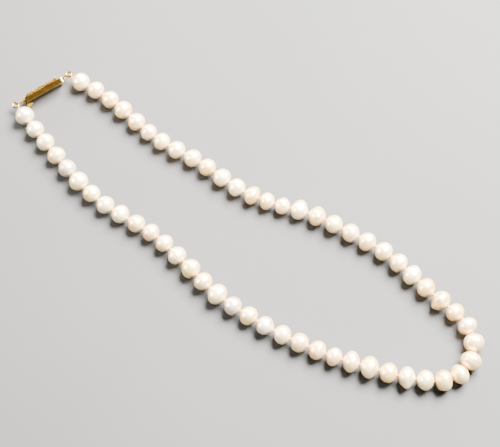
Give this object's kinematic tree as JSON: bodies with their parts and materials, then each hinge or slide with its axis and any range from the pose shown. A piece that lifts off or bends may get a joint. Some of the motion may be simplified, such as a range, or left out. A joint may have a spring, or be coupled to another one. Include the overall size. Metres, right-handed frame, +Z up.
{
  "type": "pearl necklace",
  "caption": "Single-strand necklace of knotted off-round cream pearls, lying closed in a long loop, with a gold box clasp, filigree cover, push-tab tongue and jump rings.",
  "frame": {"origin": "centre of the bounding box, on the surface that the necklace lies on", "axes": "+X along the long loop from the clasp to the front pearls, +Z up from the surface, +Y towards the arm that starts at the box's end of the clasp"},
  "size_m": [0.2154, 0.0574, 0.0082],
  "materials": {
    "nacre": "gloss",
    "silk": "matte",
    "gold_polished": "polished",
    "gold_filigree": "gloss",
    "gold_wire": "polished",
    "gold_gimp": "satin",
    "gold_spring": "gloss"
  },
  "bodies": {
    "clasp_body": {"clasp_box": "gold_polished", "filigree_cover": "gold_filigree", "box_eye": "gold_wire", "silk_thread": "silk"},
    "tongue": {"clasp_tongue": "gold_spring", "tongue_eye": "gold_wire"},
    "spring": {"tongue_spring": "gold_spring"},
    "ring_a": {"jump_ring_a": "gold_wire"},
    "ring_b": {"jump_ring_b": "gold_wire"},
    "link_01": {"gimp_a": "gold_gimp", "pearl_01": "nacre", "pearls_02_03": "nacre", "pearl_04": "nacre"},
    "link_02": {"pearl_05": "nacre", "pearls_06_07": "nacre", "pearl_08": "nacre"},
    "link_03": {"pearl_09": "nacre", "pearls_10_11": "nacre", "pearl_12": "nacre"},
    "link_04": {"pearl_13": "nacre", "pearls_14_15": "nacre", "pearl_16": "nacre"},
    "link_05": {"pearl_17": "nacre", "pearls_18_19": "nacre", "pearl_20": "nacre"},
    "link_06": {"pearl_21": "nacre", "pearls_22_23": "nacre", "pearl_24": "nacre"},
    "link_07": {"pearl_25": "nacre", "pearls_26_27": "nacre", "pearl_28": "nacre"},
    "link_08": {"pearl_29": "nacre", "pearls_30_31": "nacre", "pearl_32": "nacre"},
    "link_09": {"pearl_33": "nacre", "pearls_34_35": "nacre", "pearl_36": "nacre"},
    "link_10": {"pearl_37": "nacre", "pearls_38_39": "nacre", "pearl_40": "nacre"},
    "link_11": {"pearl_41": "nacre", "pearls_42_43": "nacre", "pearl_44": "nacre"},
    "link_12": {"pearl_45": "nacre", "pearls_46_47": "nacre", "pearl_48": "nacre"},
    "link_13": {"pearl_49": "nacre", "pearls_50_51": "nacre", "pearl_52": "nacre"},
    "link_14": {"pearl_53": "nacre", "pearls_54_55": "nacre", "pearl_56": "nacre"},
    "link_15": {"pearl_57": "nacre", "pearl_58": "nacre", "pearl_59": "nacre", "gimp_b": "gold_gimp"}
  },
  "joints": [
    {"name": "tongue_slide", "type": "slide", "parent": "clasp_body", "child": "tongue", "axis": [-0.4384, -0.8988, 0], "range_m": [0, 0.012], "deforming": ["silk_thread"]},
    {"name": "spring_press", "type": "hinge", "parent": "tongue", "child": "spring", "pos_m": [-0.09946, 0.01465, 0.00363], "axis": [-0.3074, 0.1499, -0.9397], "range_deg": [0, 2.2], "stiffness_Nm_per_rad": 0.2},
    {"name": "ring_a_swing", "type": "hinge", "parent": "clasp_body", "child": "ring_a", "pos_m": [-0.09579, 0.02425, 0.0038], "axis": [0, 0, 1], "range_deg": [0, 20], "deforming": ["silk_thread"]},
    {"name": "strand_a_swing", "type": "hinge", "parent": "ring_a", "child": "link_01", "pos_m": [-0.09539, 0.02533, 0.0038], "axis": [0, 0, 1], "range_deg": [0, 20], "deforming": ["silk_thread"]},
    {"name": "ring_b_swing", "type": "hinge", "parent": "tongue", "child": "ring_b", "pos_m": [-0.10571, 0.00347, 0.0038], "axis": [0, 0, -1], "range_deg": [0, 20], "deforming": ["silk_thread"]},
    {"name": "strand_b_swing", "type": "hinge", "parent": "ring_b", "child": "link_15", "pos_m": [-0.10623, 0.00244, 0.0038], "axis": [0, 0, -1], "range_deg": [0, 20], "deforming": ["silk_thread"]},
    {"name": "knot_04", "type": "hinge", "parent": "link_01", "child": "link_02", "pos_m": [-0.06329, 0.02249, 0.00365], "axis": [0, 0, 1], "range_deg": [0, 30], "deforming": ["silk_thread"]},
    {"name": "knot_08", "type": "hinge", "parent": "link_02", "child": "link_03", "pos_m": [-0.03507, 0.01968, 0.00364], "axis": [0, 0, 1], "range_deg": [0, 30], "deforming": ["silk_thread"]},
    {"name": "knot_12", "type": "hinge", "parent": "link_03", "child": "link_04", "pos_m": [-0.00572, 0.0181, 0.00365], "axis": [0, 0, 1], "range_deg": [0, 30], "deforming": ["silk_thread"]},
    {"name": "knot_16", "type": "hinge", "parent": "link_04", "child": "link_05", "pos_m": [0.02069, 0.02339, 0.0038], "axis": [0, 0, 1], "range_deg": [0, 30], "deforming": ["silk_thread"]},
    {"name": "knot_20", "type": "hinge", "parent": "link_05", "child": "link_06", "pos_m": [0.05043, 0.02495, 0.00376], "axis": [0, 0, 1], "range_deg": [0, 30], "deforming": ["silk_thread"]},
    {"name": "knot_24", "type": "hinge", "parent": "link_06", "child": "link_07", "pos_m": [0.07923, 0.01907, 0.00396], "axis": [0, 0, 1], "range_deg": [0, 30], "deforming": ["silk_thread"]},
    {"name": "knot_56", "type": "hinge", "parent": "link_15", "child": "link_14", "pos_m": [-0.08277, -0.00624, 0.00369], "axis": [0, 0, -1], "range_deg": [0, 30], "deforming": ["silk_thread"]},
    {"name": "knot_52", "type": "hinge", "parent": "link_14", "child": "link_13", "pos_m": [-0.05414, -0.01486, 0.00362], "axis": [0, 0, -1], "range_deg": [0, 30], "deforming": ["silk_thread"]},
    {"name": "knot_48", "type": "hinge", "parent": "link_13", "child": "link_12", "pos_m": [-0.02504, -0.01615, 0.00365], "axis": [0, 0, -1], "range_deg": [0, 30], "deforming": ["silk_thread"]},
    {"name": "knot_44", "type": "hinge", "parent": "link_12", "child": "link_11", "pos_m": [0.00348, -0.02339, 0.0041], "axis": [0, 0, -1], "range_deg": [0, 30], "deforming": ["silk_thread"]},
    {"name": "knot_40", "type": "hinge", "parent": "link_11", "child": "link_10", "pos_m": [0.03337, -0.02513, 0.00372], "axis": [0, 0, -1], "range_deg": [0, 30], "deforming": ["silk_thread"]},
    {"name": "knot_36", "type": "hinge", "parent": "link_10", "child": "link_09", "pos_m": [0.06165, -0.02164, 0.00395], "axis": [0, 0, -1], "range_deg": [0, 30], "deforming": ["silk_thread"]},
    {"name": "knot_32", "type": "hinge", "parent": "link_09", "child": "link_08", "pos_m": [0.08927, -0.01382, 0.0039], "axis": [0, 0, -1], "range_deg": [0, 30], "deforming": ["silk_thread"]}
  ]
}
